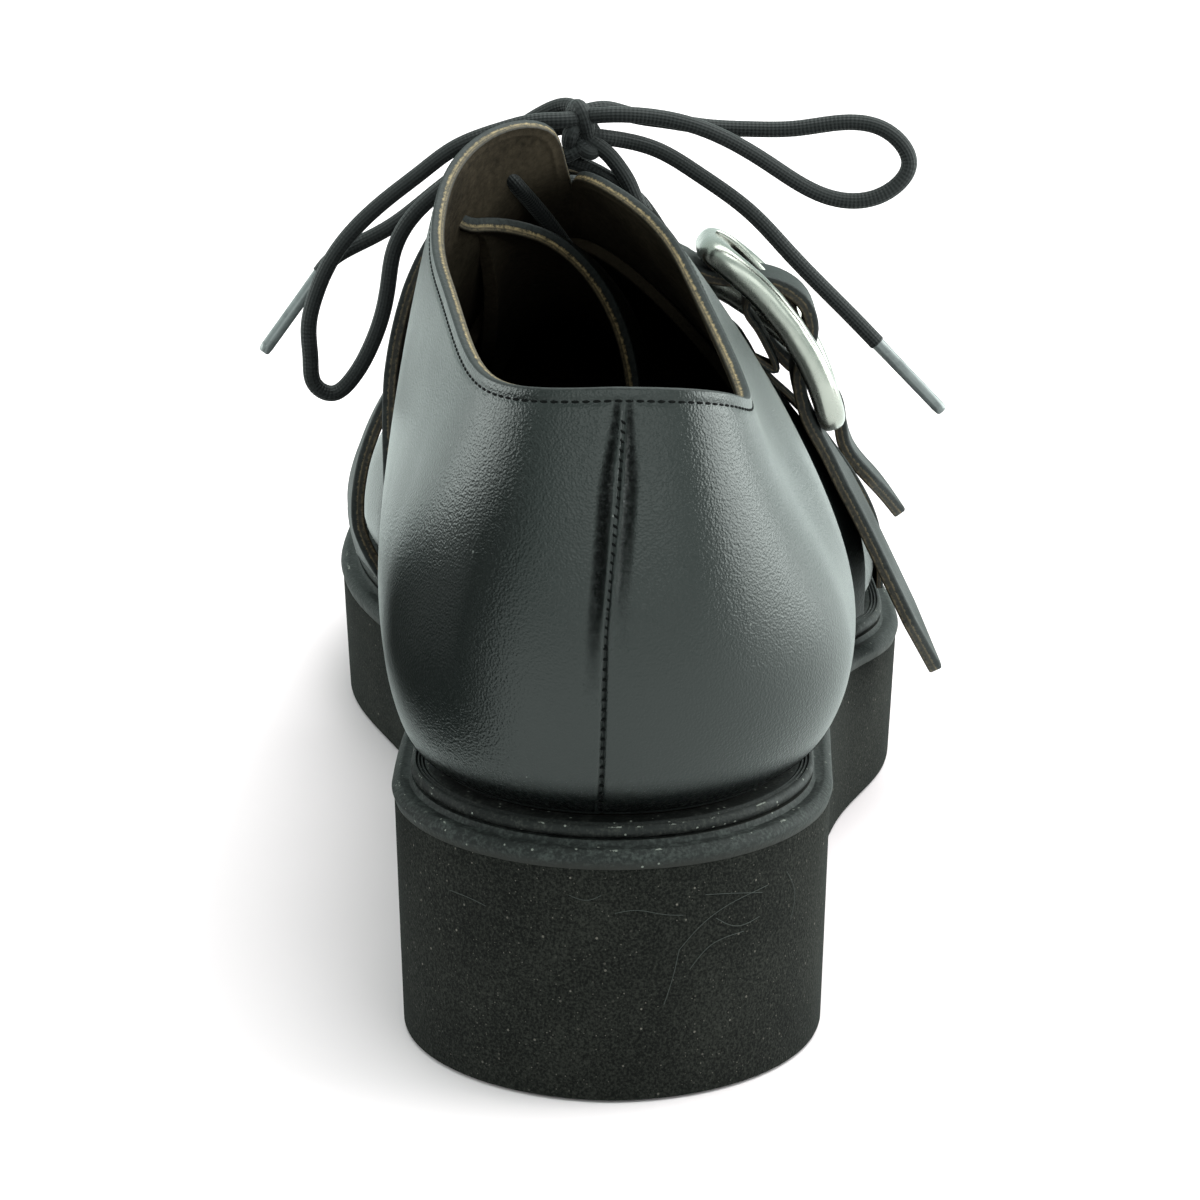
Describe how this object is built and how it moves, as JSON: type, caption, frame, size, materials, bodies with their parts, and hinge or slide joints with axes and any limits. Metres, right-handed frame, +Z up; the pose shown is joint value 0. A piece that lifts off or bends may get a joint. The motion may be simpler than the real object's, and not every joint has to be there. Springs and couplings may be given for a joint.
{
  "type": "lace-up oxford shoe",
  "caption": "Right black leather lace-up shoe with buckled straps standing off its hollow raw-edged upper, tied with a round lace, on a thick black foam wedge sole.",
  "frame": {"origin": "on the floor under the sole, at half the sole's length, on the line through the middle of the heel", "axes": "+Y from heel to toe, +X to the outer side of the right foot, +Z up"},
  "size_m": [0.1094, 0.256, 0.1204],
  "materials": {
    "black_foam": "matt fine-celled foam with light scuffs",
    "black_rand": "smooth half-gloss edge, dressed black",
    "black_calf": "half-gloss smooth calf with fine grain and raw tan edges",
    "brown_flesh": "matt brown flesh side, unlined",
    "polished_nickel": "polished nickel plate",
    "black_cord": "round braided waxed cotton",
    "grey_tip": "smooth pale grey sleeve"
  },
  "bodies": {
    "root": {"outsole": "black_foam", "midsole": "black_rand", "welt": "black_rand", "insole": "brown_flesh", "upper": "black_calf", "tongue": "black_calf", "strap_rear": "black_calf", "strap_front": "black_calf", "chape_rear": "black_calf", "chape_front": "black_calf", "buckle_rear": "polished_nickel", "buckle_front": "polished_nickel", "prong_rear": "polished_nickel", "prong_front": "polished_nickel", "lace_bar_1": "black_cord", "lace_bar_2": "black_cord", "lace_rise_lateral": "black_cord", "lace_rise_medial": "black_cord", "lace_knot": "black_cord", "lace_loop_lateral": "black_cord", "lace_loop_medial": "black_cord", "lace_end_lateral": "black_cord", "lace_end_medial": "black_cord", "aglet_lateral": "grey_tip", "aglet_medial": "grey_tip"}
  },
  "joints": []
}
